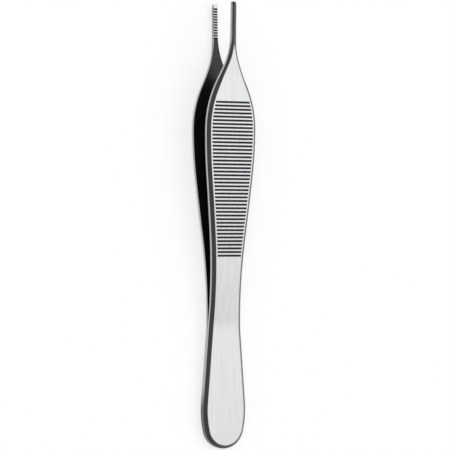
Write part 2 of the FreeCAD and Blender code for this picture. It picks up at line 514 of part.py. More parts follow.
class Arm:
    """One arm of the forceps: a bevelled steel blade with a grooved grip and a serrated tip."""

    def __init__(self, doc, name, serration_shift):
        self.doc = doc
        self.name = name
        self.serration_shift = serration_shift
        self.body = doc.addObject("PartDesign::Body", name)
        self.body.Label = name

    def drawing(self, body, name, plane):
        """Starts a sketch of this arm."""
        return Drawing(body, f"{self.name}_{name}", plane)

    def feature(self, body, kind, name):
        """Adds a feature of this arm, which from then on is the body's result."""
        feature = body.newObject(f"PartDesign::{kind}", f"{self.name}_{name}")
        body.Tip = feature
        return feature

    def pad(self, body, drawing, name, length):
        """Fills a sketch to both sides of its plane."""
        pad = self.feature(body, "Pad", name)
        pad.Profile = drawing.sketch
        pad.SideType = "Symmetric"
        pad.setExpression("Length", length)
        self.doc.recompute()
        return pad

    def cut(self, body, drawing, name):
        """Cuts a sketch through everything, to both sides of its plane."""
        pocket = self.feature(body, "Pocket", name)
        pocket.Profile = drawing.sketch
        pocket.SideType = "Symmetric"
        pocket.Type = "ThroughAll"
        self.prove(pocket)
        return pocket

    def cut_both_sides(self, body, drawing, name):
        """Cuts a sketch of one side, and its mirror image on the other."""
        pocket = self.cut(body, drawing, name)
        mirrored = self.feature(body, "Mirrored", f"{name}_mirrored")
        mirrored.Originals = [pocket]
        plane = next(f for f in body.Origin.OriginFeatures if f.Role == "XZ_Plane")
        mirrored.MirrorPlane = (plane, [""])
        self.prove(mirrored)

    def prove(self, feature):
        """Stops the build where a feature failed or left the metal as it was."""
        self.doc.recompute()
        if {"Invalid", "Error"} & set(feature.State) or feature.Shape.isNull():
            raise RuntimeError(f"{feature.Label} failed: {feature.State}")
        if abs(feature.Shape.Volume - feature.BaseFeature.Shape.Volume) < NEAR:
            raise RuntimeError(f"{feature.Label} changed nothing")

    def make_blank(self):
        """The bent strip that the arm is cut from, a little wider and longer than the arm."""
        profile = self.drawing(self.body, "side_profile", "XZ_Plane")
        draw_side_profile(profile)
        self.pad(self.body, profile, "blank", "2 * sizes.beside")

    def cut_blade(self):
        """The blade's outline from tail to nose, and the bevel round its outer face."""
        outside = self.drawing(self.body, "blade_outline", "XY_Plane")
        draw_outside_of_blade(outside)
        self.cut_both_sides(self.body, outside, "blade")
        bevel = self.feature(self.body, "Chamfer", "bevel")
        blade = bevel.BaseFeature
        bevel.Base = (blade, outer_rim(blade.Shape))
        bevel.setExpression("Size", "sizes.bevel")
        self.prove(bevel)

    def grind_tip(self):
        """The slender tip, ground from the blade's nose, and its rounded end."""
        outside = self.drawing(self.body, "tip_outline", "XY_Plane")
        draw_outside_of_tip(outside)
        self.cut_both_sides(self.body, outside, "tip")
        nose = self.drawing(self.body, "tip_end", "XZ_Plane")
        nose.move_to("sizes.overall_length", "sizes.tip_gap", "atan(sizes.tip_slope)")
        draw_outside_of_nose(nose)
        self.cut(self.body, nose, "nose")

    def cut_rest_flat(self):
        """The small flat on the bow that, with the end of the heel, carries the arm on a table."""
        flat = self.drawing(self.body, "rest_flat", "XZ_Plane")
        flat.move_to("sizes.crest_place", "sizes.bow_height - sizes.bow_radius", "sizes.lean")
        reach = "sqrt(2 * sizes.bow_radius * sizes.rest_flat_depth)"
        top = "sizes.bow_radius + sizes.cut_clearance"
        flat.polygon([(f"-2 * {reach}", "sizes.rest_radius"), (f"2 * {reach}", "sizes.rest_radius"),
                      (f"2 * {reach}", top), (f"-2 * {reach}", top)])
        self.cut(self.body, flat, "rest_flat_cut")

    def cut_serrations(self):
        """The fine cross serrations on the inner face of the tip."""
        notch = self.drawing(self.body, "serration_notch", "XZ_Plane")
        notch.move_to("sizes.overall_length", "sizes.tip_gap", "atan(sizes.tip_slope)")
        draw_notch(notch, f"-(sizes.tip_to_serration + {self.serration_shift})", "0",
                   "sizes.serration_width", "sizes.serration_depth", 1)
        first = self.cut(self.body, notch, "serration")
        row = self.feature(self.body, "LinearPattern", "serrations")
        row.Originals = [first]
        row.Direction = (notch.sketch, ["H_Axis"])
        row.Reversed = True
        row.setExpression("Length", "sizes.serration_pitch * (sizes.serration_count - 1)")
        row.setExpression("Occurrences", "sizes.serration_count")
        self.prove(row)

    def cut_grooves(self):
        """The cross grooves on the grip: a fan of V cutters about the bow's centre, cut to their field."""
        cutters = self.doc.addObject("PartDesign::Body", f"{self.name}_groove_cutters")
        cutters.AllowCompound = True
        bow = ("sizes.crest_place", "sizes.bow_height - sizes.bow_radius",
               "asin((sizes.crest_place - sizes.groove_place) / sizes.bow_radius)")
        panel = self.drawing(cutters, "groove_panel", "XZ_Plane")
        panel.move_to(*bow)
        draw_panel(panel)
        self.pad(cutters, panel, "groove_panel_cutter", "sizes.grip_width")
        notch = self.drawing(cutters, "groove_notch", "XZ_Plane")
        notch.move_to(*bow)
        draw_notch(notch, "0", "sizes.bow_radius", "sizes.groove_width", "sizes.groove_depth", -1)
        first = self.pad(cutters, notch, "groove_cutter", "sizes.grip_width")
        fan = self.feature(cutters, "PolarPattern", "groove_fan")
        fan.Originals = [first]
        fan.Axis = (notch.sketch, ["N_Axis"])
        fan.Reversed = True
        fan.setExpression("Angle", "sizes.groove_pitch * (sizes.groove_count - 1)"
                          " / sizes.bow_radius * 180 / pi")
        fan.setExpression("Occurrences", "sizes.groove_count")
        self.doc.recompute()
        field = self.drawing(cutters, "groove_field", "XY_Plane")
        draw_outside_of_groove_field(field)
        self.cut_both_sides(cutters, field, "groove_ends")
        grooves = self.feature(self.body, "Boolean", "grooves")
        grooves.Type = "Cut"
        grooves.setObjects([cutters])
        self.prove(grooves)


def adjacent_normals(shape, edge):
    """The normals of the faces that meet at an edge's middle."""
    middle = edge.valueAt((edge.FirstParameter + edge.LastParameter) / 2)
    return [face.normalAt(*face.Surface.parameter(middle))
            for face in shape.ancestorsOfType(edge, Part.Face)]


def outer_rim(shape):
    """Names of the edges where the outer face meets the upright sides."""
    names = []
    for number, edge in enumerate(shape.Edges, start=1):
        heights = sorted(normal.z for normal in adjacent_normals(shape, edge))
        if len(heights) == 2 and heights[1] > FACES_UP and abs(heights[0]) < FACES_SIDEWAYS:
            ends = [vertex.X for vertex in edge.Vertexes]
            if max(ends) - min(ends) > SMALLEST:
                names.append(f"Edge{number}")
    return names


def lay_on_table(sheet, upper, lower):
    """Leans the pair onto the lower arm's heel end and rest flat, centred over the origin."""
    leaned = FreeCAD.Rotation(FreeCAD.Vector(0, -1, 0), float(sheet.lean))
    half_turn = FreeCAD.Rotation(FreeCAD.Vector(1, 0, 0), 180)
    upper.body.Placement = FreeCAD.Placement(FreeCAD.Vector(), leaned)
    lower.body.Placement = FreeCAD.Placement(FreeCAD.Vector(), leaned * half_turn)
    pair = Part.makeCompound([upper.body.Shape, lower.body.Shape])
    box = pair.optimalBoundingBox(False, False)
    shift = FreeCAD.Vector(-box.Center.x, -box.Center.y, -box.ZMin)
    for arm in (upper, lower):
        arm.body.Placement = FreeCAD.Placement(shift, arm.body.Placement.Rotation)
    print(f"lean {float(sheet.lean):.3f} degrees, "
          f"box {box.XLength:.3f} x {box.YLength:.3f} x {box.ZLength:.3f} mm")


def check(doc, arms):
    """Stops the build where an object failed or an arm isn't one valid solid."""
    doc.recompute()
    for item in doc.Objects:
        if {"Invalid", "Error"} & set(item.State):
            raise RuntimeError(f"{item.Label} failed: {item.State}")
    for arm in arms:
        shape = arm.body.Shape
        if shape.isNull() or not shape.isValid() or len(shape.Solids) != 1:
            raise RuntimeError(f"{arm.name} isn't one valid solid")


def main():
    """Builds both arms, lays them down and writes one file for each."""
    doc = FreeCAD.newDocument("thumb_forceps")
    sheet = make_sheet(doc)
    upper = Arm(doc, "upper_arm", "0")
    lower = Arm(doc, "lower_arm", "sizes.serration_pitch / 2")
    for arm in (upper, lower):
        arm.make_blank()
        arm.cut_blade()
        arm.grind_tip()
        arm.cut_rest_flat()
        arm.cut_serrations()
        arm.cut_grooves()
    lay_on_table(sheet, upper, lower)
    check(doc, (upper, lower))
    os.makedirs("parts", exist_ok=True)
    for arm in (upper, lower):
        arm.body.Shape.exportStep(f"parts/{arm.name}.step")
        shape = arm.body.Shape
        print(f"{arm.name}: {shape.Volume:.2f} cubic millimetres, {len(shape.Faces)} faces")


main()
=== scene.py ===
import logging
import math
from collections.abc import Callable, Iterable
from dataclasses import dataclass, field
from enum import Enum

import bmesh
import bpy
from mathutils import Matrix, Vector


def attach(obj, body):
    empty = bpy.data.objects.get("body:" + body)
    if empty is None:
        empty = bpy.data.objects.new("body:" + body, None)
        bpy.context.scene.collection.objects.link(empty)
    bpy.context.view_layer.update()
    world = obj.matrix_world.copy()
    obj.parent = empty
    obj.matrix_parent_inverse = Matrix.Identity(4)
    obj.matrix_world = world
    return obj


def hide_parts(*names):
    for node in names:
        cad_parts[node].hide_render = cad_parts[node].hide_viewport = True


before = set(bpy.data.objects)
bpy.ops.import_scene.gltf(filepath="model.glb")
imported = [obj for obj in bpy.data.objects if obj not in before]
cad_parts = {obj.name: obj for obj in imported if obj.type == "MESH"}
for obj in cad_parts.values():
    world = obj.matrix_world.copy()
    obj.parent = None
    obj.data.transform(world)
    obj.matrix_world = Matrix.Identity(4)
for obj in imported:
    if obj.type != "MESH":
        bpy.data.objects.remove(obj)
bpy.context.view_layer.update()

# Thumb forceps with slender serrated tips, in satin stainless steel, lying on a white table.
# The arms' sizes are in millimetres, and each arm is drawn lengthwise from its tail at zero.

LOG = logging.getLogger("forceps")
MILLIMETRE = 0.001
# Points of a mesh that lie nearer than this, in metres, are one.
WELD = 1e-6

Point = tuple[float, float]
Band = tuple[float, float]
Colour = tuple[float, float, float, float]


class Bulge(Enum):
    """Which half of its circle an arc runs on."""

    UP = 1.0
    DOWN = -1.0


class Side(Enum):
    """The two arms, by the way their outer faces look."""

    UPPER = 1.0
    LOWER = -1.0


@dataclass(frozen=True)
class Run:
    """One stretch of an outline, up to a place along the arm."""

    end: float
    height: Callable[[float], float]


def straight(start: Point, end: Point) -> Run:
    """A straight stretch.

    Args:
        start: A point on the line.
        end: The point where the stretch ends.

    Returns:
        The stretch.
    """
    slope = (end[1] - start[1]) / (end[0] - start[0])
    return Run(end[0], lambda x: start[1] + slope * (x - start[0]))


def arc(centre: Point, radius: float, bulge: Bulge, end: float) -> Run:
    """A stretch on a circle.

    Args:
        centre: The circle's centre.
        radius: The circle's radius.
        bulge: Whether the stretch runs over the centre or under it.
        end: The place where the stretch ends.

    Returns:
        The stretch.
    """
    def height(x: float) -> float:
        """Height of the arc at a place."""
        return centre[1] + bulge.value * math.sqrt(max(radius ** 2 - (x - centre[0]) ** 2, 0.0))
    return Run(end, height)


def swell(length: float, rise: float) -> float:
    """Sum of the radii of two arcs that just join two levels.

    Args:
        length: How far the levels' ends lie apart along the arm.
        rise: How far one level lies above the other.

    Returns:
        The sum.
    """
    return (length ** 2 + rise ** 2) / (2 * rise)


def crossing(first: Point, first_radius: float, second: Point,
             second_radius: float) -> tuple[Point, Point]:
    """Ends of the straight line that leaves one circle and crosses over to another.

    Args:
        first: Centre of the circle that is left.
        first_radius: Its radius.
        second: Centre of the circle that is reached.
        second_radius: Its radius.

    Returns:
        The point where the line leaves the first circle and the one where it meets the second.
    """
    across, along = second[0] - first[0], second[1] - first[1]
    swing = math.acos((first_radius + second_radius) / math.hypot(across, along))
    ends = []
    for turn in (swing, -swing):
        angle = math.atan2(along, across) + turn
        way = (math.cos(angle), math.sin(angle))
        ends.append(((first[0] + first_radius * way[0], first[1] + first_radius * way[1]),
                     (second[0] - second_radius * way[0], second[1] - second_radius * way[1])))
    return next(pair for pair in ends if pair[0][0] < pair[1][0])


def rounded(before: Point, corner: Point, after: Point, reach: float) -> tuple[Point, Run]:
    """The bend that rounds a corner of a line.

    Args:
        before: A point on the line that comes in.
        corner: The corner.
        after: A point on the line that goes out.
        reach: How far the bend reaches along both lines.

    Returns:
        The point where the bend starts, and the bend.
    """
    come, go = Vector(before) - Vector(corner), Vector(after) - Vector(corner)
    start, end = Vector(corner) + come.normalized() * reach, Vector(corner) + go.normalized() * reach
    middle = (start + end) / 2 - Vector(corner)
    centre = Vector(corner) + middle * (reach ** 2 / middle.length_squared)
    bulge = Bulge.UP if centre.y < start.y else Bulge.DOWN
    return tuple(start), arc(tuple(centre), (start - centre).length, bulge, end.x)


@dataclass(frozen=True)
class Outline:
    """Height over the place along the arm, stretch by stretch."""

    runs: tuple[Run, ...]

    def at(self, x: float) -> float:
        """Height of the outline at a place."""
        return next((run for run in self.runs if x <= run.end), self.runs[-1]).height(x)

    def slope(self, x: float, step: float = 0.01) -> float:
        """Slope of the outline at a place."""
        return (self.at(x + step) - self.at(x - step)) / (2 * step)


@dataclass(frozen=True)
class Pose:
    """How the pair lies on the table: tips forward, leaned onto the lower arm."""

    lean: float = math.radians(2.46829)
    tail: Vector = field(default_factory=lambda: Vector((-60.0352, 0.0, 1.60971)))

    def matrix(self, side: Side) -> Matrix:
        """The matrix that lays down an arm drawn in millimetres.

        Args:
            side: The arm.

        Returns:
            The matrix, which also turns millimetres into metres.
        """
        turned = Matrix.Rotation(0.0 if side is Side.UPPER else math.pi, 4, "X")
        leaned = Matrix.Rotation(-self.lean, 4, "Y")
        return Matrix.Scale(MILLIMETRE, 4) @ Matrix.Translation(self.tail) @ leaned @ turned


@dataclass
class Arm:
    """One arm: a bevelled spring-steel blade with a grooved grip and a ground, serrated tip."""

    name: str
    side: Side
    pose: Pose
    length: float = 120.0
    tail_to_heel: float = 10.4
    heel_width: float = 12.8
    heel_thickness: float = 1.65
    heel_flank_share: float = 0.095
    waist_place: float = 42.0
    waist_width: float = 9.0
    waist_rear_share: float = 0.607
    waist_front_share: float = 0.484
    grip_place: float = 85.7
    grip_width: float = 14.8
    grip_thickness: float = 1.8
    grip_rear_share: float = 0.387
    grip_front_share: float = 0.615
    nose_place: float = 108.5
    nose_width: float = 2.3
    nose_share: float = 0.268
    part_place: float = 30.9
    part_share: float = 0.077
    crest_place: float = 91.6
    crest_gap: float = 3.4
    bow_share: float = 0.806
    neck_place: float = 99.5
    neck_reach: float = 2.24
    root_place: float = 106.5
    root_gap: float = 4.45
    root_thickness: float = 1.6
    root_reach: float = 2.39
    tip_gap: float = 4.85
    tip_thickness: float = 1.45
    tip_width: float = 1.2
    tip_corner_radius: float = 0.45
    tip_nose_radius: float = 1.1
    tip_nose_dip: float = 0.012
    flare_place: float = 111.4
    flare_radius: float = 22.8
    flare_angle: float = math.radians(25.3)
    bevel: float = 0.9
    groove_front: float = 93.0
    groove_pitch: float = 0.978
    groove_count: int = 43
    groove_width: float = 0.56
    groove_depth: float = 0.28
    groove_inset: float = 1.25
    groove_rim: float = 0.1
    serration_from_end: float = 1.0
    serration_pitch: float = 0.72
    serration_count: int = 12
    serration_width: float = 0.5
    serration_depth: float = 0.26
    edge_round: float = 0.07
    edge_slack: float = 0.05
    crease: float = math.radians(32.0)
    tail_steps: int = 26
    nose_steps: int = 14
    shaft_step: float = 0.9
    blade_step: float = 0.45
    least_step: float = 0.012

    def flank(self, inset: float) -> Outline:
        """Half the blade's width from tail to nose.

        Args:
            inset: How far inside the finished side the outline runs.

        Returns:
            The outline.
        """
        heel_swell = swell(self.waist_place - self.tail_to_heel,
                           (self.heel_width - self.waist_width) / 2)
        grip_swell = swell(self.grip_place - self.waist_place,
                           (self.grip_width - self.waist_width) / 2)
        nose_swell = swell(self.nose_place - self.grip_place,
                           (self.grip_width - self.nose_width) / 2)
        heel_radius = self.heel_flank_share * heel_swell
        rear_radius = self.waist_rear_share * heel_swell
        front_radius = self.waist_front_share * grip_swell
        grip_radius = self.grip_rear_share * grip_swell
        fore_radius = self.grip_front_share * nose_swell
        nose_radius = self.nose_share * nose_swell
        tail_radius = ((self.tail_to_heel ** 2 - heel_radius * self.heel_width
                        + self.heel_width ** 2 / 4) / (2 * (self.tail_to_heel - heel_radius)))
        heel = (self.tail_to_heel, self.heel_width / 2 - heel_radius)
        rear = (self.waist_place, self.waist_width / 2 + rear_radius)
        front = (self.waist_place, self.waist_width / 2 + front_radius)
        grip = (self.grip_place, self.grip_width / 2 - grip_radius)
        fore = (self.grip_place, self.grip_width / 2 - fore_radius)
        nose = (self.nose_place, self.nose_width / 2 + nose_radius)
        shared = heel[0] + ((heel_radius - inset) * (tail_radius - heel[0])
                            / math.hypot(tail_radius - heel[0], heel[1]))
        heel_off, rear_on = crossing(heel, heel_radius - inset, rear, rear_radius + inset)
        front_off, grip_on = crossing(front, front_radius + inset, grip, grip_radius - inset)
        fore_off, nose_on = crossing(fore, fore_radius - inset, nose, nose_radius + inset)
        return Outline((
            arc((tail_radius, 0.0), tail_radius - inset, Bulge.UP, shared),
            arc(heel, heel_radius - inset, Bulge.UP, heel_off[0]),
            straight(heel_off, rear_on),
            arc(rear, rear_radius + inset, Bulge.DOWN, self.waist_place),
            arc(front, front_radius + inset, Bulge.DOWN, front_off[0]),
            straight(front_off, grip_on),
            arc(grip, grip_radius - inset, Bulge.UP, self.grip_place),
            arc(fore, fore_radius - inset, Bulge.UP, fore_off[0]),
            straight(fore_off, nose_on),
            arc(nose, nose_radius + inset, Bulge.DOWN, self.nose_place),
            Run(self.length, lambda x: self.nose_width / 2 - inset),
        ))

    def ground(self) -> Outline:
        """Half the width that grinding leaves at the tip."""
        off = (self.flare_place - self.flare_radius * math.sin(self.flare_angle),
               self.tip_width / 2 + self.flare_radius * (1 - math.cos(self.flare_angle)))
        slope = math.tan(self.flare_angle)
        corner = (self.length - self.tip_corner_radius, self.tip_width / 2 - self.tip_corner_radius)
        return Outline((
            Run(off[0], lambda x: off[1] + slope * (off[0] - x)),
            arc((self.flare_place, self.tip_width / 2 + self.flare_radius), self.flare_radius,
                Bulge.DOWN, self.flare_place),
            Run(corner[0], lambda x: self.tip_width / 2),
            arc(corner, self.tip_corner_radius, Bulge.UP, self.length),
        ))

    def profile(self, outer: bool) -> Outline:
        """The arm's inner or outer face, seen from the side.

        Args:
            outer: Whether the outer face is meant.

        Returns:
            The outline, over the heel's inner face.
        """
        heel = self.heel_thickness if outer else 0.0
        crest = self.crest_gap + (self.grip_thickness if outer else 0.0)
        height = self.crest_gap + self.grip_thickness
        bow_swell = swell(self.crest_place - self.part_place, height - self.heel_thickness)
        part_radius, bow_radius = self.part_share * bow_swell, self.bow_share * bow_swell
        radius = bow_radius - (0.0 if outer else self.grip_thickness)
        bow = (self.crest_place, height - bow_radius)
        bend = (self.part_place, heel + part_radius)
        bend_off, bow_on = crossing(bend, part_radius, bow, radius)
        neck = (self.neck_place, crest)
        root = (self.root_place, self.root_gap + (self.root_thickness if outer else 0.0))
        tip = (self.length, self.tip_gap + (self.tip_thickness if outer else 0.0))
        neck_on, neck_bend = rounded((self.crest_place, crest), neck, root, self.neck_reach)
        root_on, root_bend = rounded(neck, root, tip, self.root_reach)
        runs = [
            Run(self.part_place, lambda x: heel),
            arc(bend, part_radius, Bulge.DOWN, bend_off[0]),
            straight(bend_off, bow_on),
            arc(bow, radius, Bulge.UP, self.crest_place),
            straight((self.crest_place, crest), neck_on),
            neck_bend,
            straight(neck, root_on),
            root_bend,
        ]
        if not outer:
            return Outline((*runs, straight(root, tip)))
        nose = (self.length - self.tip_nose_radius, tip[1] - self.tip_nose_radius)
        return Outline((*runs, straight(root, (nose[0], tip[1] - self.tip_nose_dip)),
                        arc(nose, self.tip_nose_radius, Bulge.UP, self.length)))

    def grooves(self) -> list[float]:
        """Places of the grooves across the grip, rearmost first."""
        return [self.groove_front - self.groove_pitch * k for k in reversed(range(self.groove_count))]

    def serrations(self) -> list[float]:
        """Places of the serrations on the tip, rearmost first, half a pitch apart on the two arms."""
        shift = self.serration_pitch / 2 if self.side is Side.LOWER else 0.0
        last = self.length - self.serration_from_end - shift
        return [last - self.serration_pitch * k for k in reversed(range(self.serration_count))]

    def stations(self) -> list[float]:
        """Places of the mesh's cross sections, tail to tip."""
        places = [self.tail_to_heel * (1 - math.cos(math.pi / 2 * k / self.tail_steps))
                  for k in range(self.tail_steps + 1)]
        places += spread(self.tail_to_heel, self.grooves()[0] - self.groove_pitch / 2,
                         self.shaft_step)
        for place in self.grooves():
            places += [place - self.groove_width / 2, place, place + self.groove_width / 2]
        places += spread(places[-1], self.serrations()[0] - self.serration_pitch, self.blade_step)
        for place in self.serrations():
            places += [place - self.serration_width / 2, place, place + self.serration_width / 2]
        end = self.length - self.tip_nose_radius
        places += [end + self.tip_nose_radius * math.sin(math.pi / 2 * k / self.nose_steps)
                   for k in range(self.nose_steps + 1)]
        kept: list[float] = []
        for place in sorted(places):
            if not kept or place - kept[-1] > self.least_step:
                kept.append(place)
        kept[-1] = self.length
        return kept

    def sections(self) -> list[list[Vector]]:
        """The mesh's cross sections, each a loop from the inner face's middle round both sides."""
        full, inner_rim = self.flank(0.0), self.flank(self.bevel)
        field_rim, ground = self.flank(self.groove_inset), self.ground()
        outer, inner = self.profile(True), self.profile(False)
        loops = []
        for place in self.stations():
            shrink = max(1 - place / self.tail_to_heel, 0.0)
            at_rim = place + self.bevel * shrink
            at_field = place + self.groove_inset * shrink
            side = min(full.at(place), ground.at(place))
            flat = min(inner_rim.at(at_rim), ground.at(place))
            lane = max(min(field_rim.at(at_field), flat - self.groove_rim), 0.0)
            drop = min(math.hypot(at_rim - place, max(side - flat, 0.0)), self.bevel)
            cut = notch(place, self.grooves(), self.groove_width, self.groove_depth)
            bite = notch(place, self.serrations(), self.serration_width, self.serration_depth)
            lean = math.atan(outer.slope(place))
            low, top = inner.at(place) + bite, outer.at(place)
            sunk = Vector((at_field + cut * math.sin(lean), lane, top - cut * math.cos(lean)))
            half = [
                Vector((place, 0.0, low)),
                Vector((place, side, low)),
                Vector((place, side, max(top - drop, low))),
                Vector((at_rim, flat, top)),
                Vector((at_field, lane, top)),
                sunk,
                Vector((sunk.x, 0.0, sunk.z)),
            ]
            loops.append(half + [Vector((p.x, -p.y, p.z)) for p in reversed(half[:-1])])
        return loops

    def build(self) -> bpy.types.Object:
        """Models the arm.

        Returns:
            The arm, in metres and in its place.
        """
        loops = self.sections()
        bays, strips = len(loops) - 1, len(loops[0]) - 1
        deselect()
        bpy.ops.mesh.primitive_grid_add(x_subdivisions=bays, y_subdivisions=strips, size=1.0)
        arm = bpy.context.object
        arm.name = self.name
        for vertex in arm.data.vertices:
            station = round((vertex.co.x + 0.5) * bays)
            rail = round((vertex.co.y + 0.5) * strips)
            vertex.co = loops[station][rail] * MILLIMETRE
        bpy.ops.object.mode_set(mode="EDIT")
        bpy.ops.mesh.select_all(action="SELECT")
        bpy.ops.mesh.remove_doubles(threshold=WELD)
        bpy.ops.mesh.dissolve_degenerate(threshold=WELD)
        bpy.ops.mesh.select_all(action="DESELECT")
        bpy.ops.mesh.select_mode(type="EDGE")
        bpy.ops.mesh.select_non_manifold(extend=False)
        bpy.ops.mesh.edge_face_add()
        bpy.ops.mesh.select_all(action="SELECT")
        bpy.ops.mesh.normals_make_consistent(inside=False)
        self.join_tail_flats(arm)
        self.round_edges(arm)
        bpy.ops.object.mode_set(mode="OBJECT")
        arm.data.transform(Matrix.Scale(1 / MILLIMETRE, 4))
        arm.data.transform(self.pose.matrix(self.side))
        bpy.ops.object.shade_smooth_by_angle(angle=self.crease)
        weighted = arm.modifiers.new("even_normals", "WEIGHTED_NORMAL")
        weighted.keep_sharp = True
        bpy.ops.object.modifier_apply(modifier=weighted.name)
        return arm

    def join_tail_flats(self, arm: bpy.types.Object) -> None:
        """Makes one face of each flat at the tail, whose strips are narrower than the broken edges.

        Args:
            arm: The arm, in edit mode, before it is laid down.
        """
        level, same_plane = 0.999, math.radians(0.1)
        tail = self.bevel * 2 * MILLIMETRE
        bpy.ops.mesh.select_mode(type="FACE")
        bpy.ops.mesh.select_all(action="DESELECT")
        mesh = bmesh.from_edit_mesh(arm.data)
        for face in mesh.faces:
            face.select = abs(face.normal.z) > level and face.calc_center_median().x < tail
        bmesh.update_edit_mesh(arm.data)
        bpy.ops.mesh.dissolve_limited(angle_limit=same_plane)
        bpy.ops.mesh.select_mode(type="EDGE")

    def round_edges(self, arm: bpy.types.Object) -> None:
        """Breaks the arm's long edges, but not those of the grooves and serrations.

        Args:
            arm: The arm, in edit mode, before it is laid down.
        """
        mesh = bmesh.from_edit_mesh(arm.data)
        field_start = (self.grooves()[0] - self.groove_pitch) * MILLIMETRE
        field_end = (self.grooves()[-1] + self.groove_pitch) * MILLIMETRE
        teeth = (self.serrations()[0] - self.serration_pitch / 2) * MILLIMETRE
        rim = self.flank(self.groove_inset)
        for edge in mesh.edges:
            middle = (edge.verts[0].co + edge.verts[1].co) / 2
            lane = (rim.at(middle.x / MILLIMETRE) + self.edge_slack) * MILLIMETRE
            in_field = (field_start < middle.x < field_end and middle.z > 0
                        and abs(middle.y) < lane)
            on_teeth = middle.x > teeth
            sharp = len(edge.link_faces) == 2 and edge.calc_face_angle(0.0) > self.crease
            edge.select = sharp and not in_field and not on_teeth
        mesh.select_flush_mode()
        bmesh.update_edit_mesh(arm.data)
        bpy.ops.mesh.bevel(offset=self.edge_round * MILLIMETRE, segments=2, profile=0.5,
                           clamp_overlap=False)


def spread(start: float, end: float, step: float) -> list[float]:
    """Even places between two places.

    Args:
        start: The first place, which is left out.
        end: The last place.
        step: About how far the places lie apart.

    Returns:
        The places.
    """
    count = max(math.ceil((end - start) / step), 1)
    return [start + (end - start) * (k + 1) / count for k in range(count)]


def notch(place: float, centres: Iterable[float], width: float, depth: float) -> float:
    """How deep a row of V cuts is at a place.

    Args:
        place: The place along the arm.
        centres: Places of the cuts' bottoms.
        width: Width of a cut at the surface.
        depth: Depth of a cut.

    Returns:
        The depth there, zero between the cuts.
    """
    nearest = min(abs(place - centre) for centre in centres)
    return max(depth * (1 - nearest / (width / 2)), 0.0)


def deselect() -> None:
    """Leaves nothing selected, in object mode."""
    if bpy.context.object and bpy.context.object.mode != "OBJECT":
        bpy.ops.object.mode_set(mode="OBJECT")
    bpy.ops.object.select_all(action="DESELECT")


Value = "Signal | float"


class Bench:
    """A material's nodes."""

    def __init__(self, tree: bpy.types.NodeTree) -> None:
        """Clears a tree to start from.

        Args:
            tree: The node tree.
        """
        self.tree = tree
        tree.nodes.clear()

    def node(self, kind: str, settings: dict | None = None,
             inputs: dict | None = None) -> bpy.types.Node:
        """Adds a node.

        Args:
            kind: The node's type.
            settings: Its own settings.
            inputs: A value or a link for each socket, by the socket's name or number.

        Returns:
            The node.
        """
        node = self.tree.nodes.new(kind)
        for key, value in (settings or {}).items():
            setattr(node, key, value)
        for key, value in (inputs or {}).items():
            socket = node.inputs[key]
            if isinstance(value, Signal):
                self.tree.links.new(value.socket, socket)
            elif isinstance(value, bpy.types.NodeSocket):
                self.tree.links.new(value, socket)
            else:
                socket.default_value = value
        return node

    def signal(self, kind: str, output: str | int, settings: dict | None = None,
               inputs: dict | None = None) -> "Signal":
        """Adds a node and takes one of its outputs.

        Args:
            kind: The node's type.
            output: The output's name or number.
            settings: The node's own settings.
            inputs: A value or a link for each socket.

        Returns:
            The output.
        """
        return Signal(self, self.node(kind, settings, inputs).outputs[output])

    def maths(self, operation: str, *values: Value) -> "Signal":
        """Adds a Math node."""
        return self.signal("ShaderNodeMath", 0, {"operation": operation}, dict(enumerate(values)))

    def mix(self, share: Value, first: Value, second: Value) -> "Signal":
        """Mixes two colours, on the node's sockets for colours, by a share of the second."""
        return self.signal("ShaderNodeMix", 2, {"data_type": "RGBA"},
                           {0: share, 6: first, 7: second})


class Signal:
    """A value in a material, which arithmetic turns into further nodes."""

    def __init__(self, bench: Bench, socket: bpy.types.NodeSocket) -> None:
        """Wraps an output socket.

        Args:
            bench: The nodes that it belongs to.
            socket: The socket.
        """
        self.bench = bench
        self.socket = socket

    def __add__(self, other: Value) -> "Signal":
        """Adds."""
        return self.bench.maths("ADD", self, other)

    def __radd__(self, other: Value) -> "Signal":
        """Adds."""
        return self.bench.maths("ADD", other, self)

    def __sub__(self, other: Value) -> "Signal":
        """Takes away."""
        return self.bench.maths("SUBTRACT", self, other)

    def __rsub__(self, other: Value) -> "Signal":
        """Takes away from a number."""
        return self.bench.maths("SUBTRACT", other, self)

    def __mul__(self, other: Value) -> "Signal":
        """Multiplies."""
        return self.bench.maths("MULTIPLY", self, other)

    def __rmul__(self, other: Value) -> "Signal":
        """Multiplies."""
        return self.bench.maths("MULTIPLY", other, self)

    def __pow__(self, other: Value) -> "Signal":
        """Raises to a power."""
        return self.bench.maths("POWER", self, other)

    def __gt__(self, other: Value) -> "Signal":
        """One where it is more, and zero elsewhere."""
        return self.bench.maths("GREATER_THAN", self, other)

    def __lt__(self, other: Value) -> "Signal":
        """One where it is less, and zero elsewhere."""
        return self.bench.maths("LESS_THAN", self, other)

    def __abs__(self) -> "Signal":
        """Its size without its sign."""
        return self.bench.maths("ABSOLUTE", self)

    def sign(self) -> "Signal":
        """One, zero or minus one."""
        return self.bench.maths("SIGN", self)

    def rise(self, low: float, high: float) -> "Signal":
        """Goes softly from zero at one value to one at another.

        Args:
            low: The value where it is zero.
            high: The value where it is one.

        Returns:
            The share.
        """
        return self.bench.signal("ShaderNodeMapRange", 0, {"interpolation_type": "SMOOTHSTEP"},
                                 {0: self, 1: low, 2: high, 3: 0.0, 4: 1.0})


@dataclass(frozen=True)
class Spot:
    """Where a point of the steel lies on its arm, and how the surface stands there."""

    place: Signal
    along: Signal
    tilt: Signal
    steepness: Signal
    outward: Signal


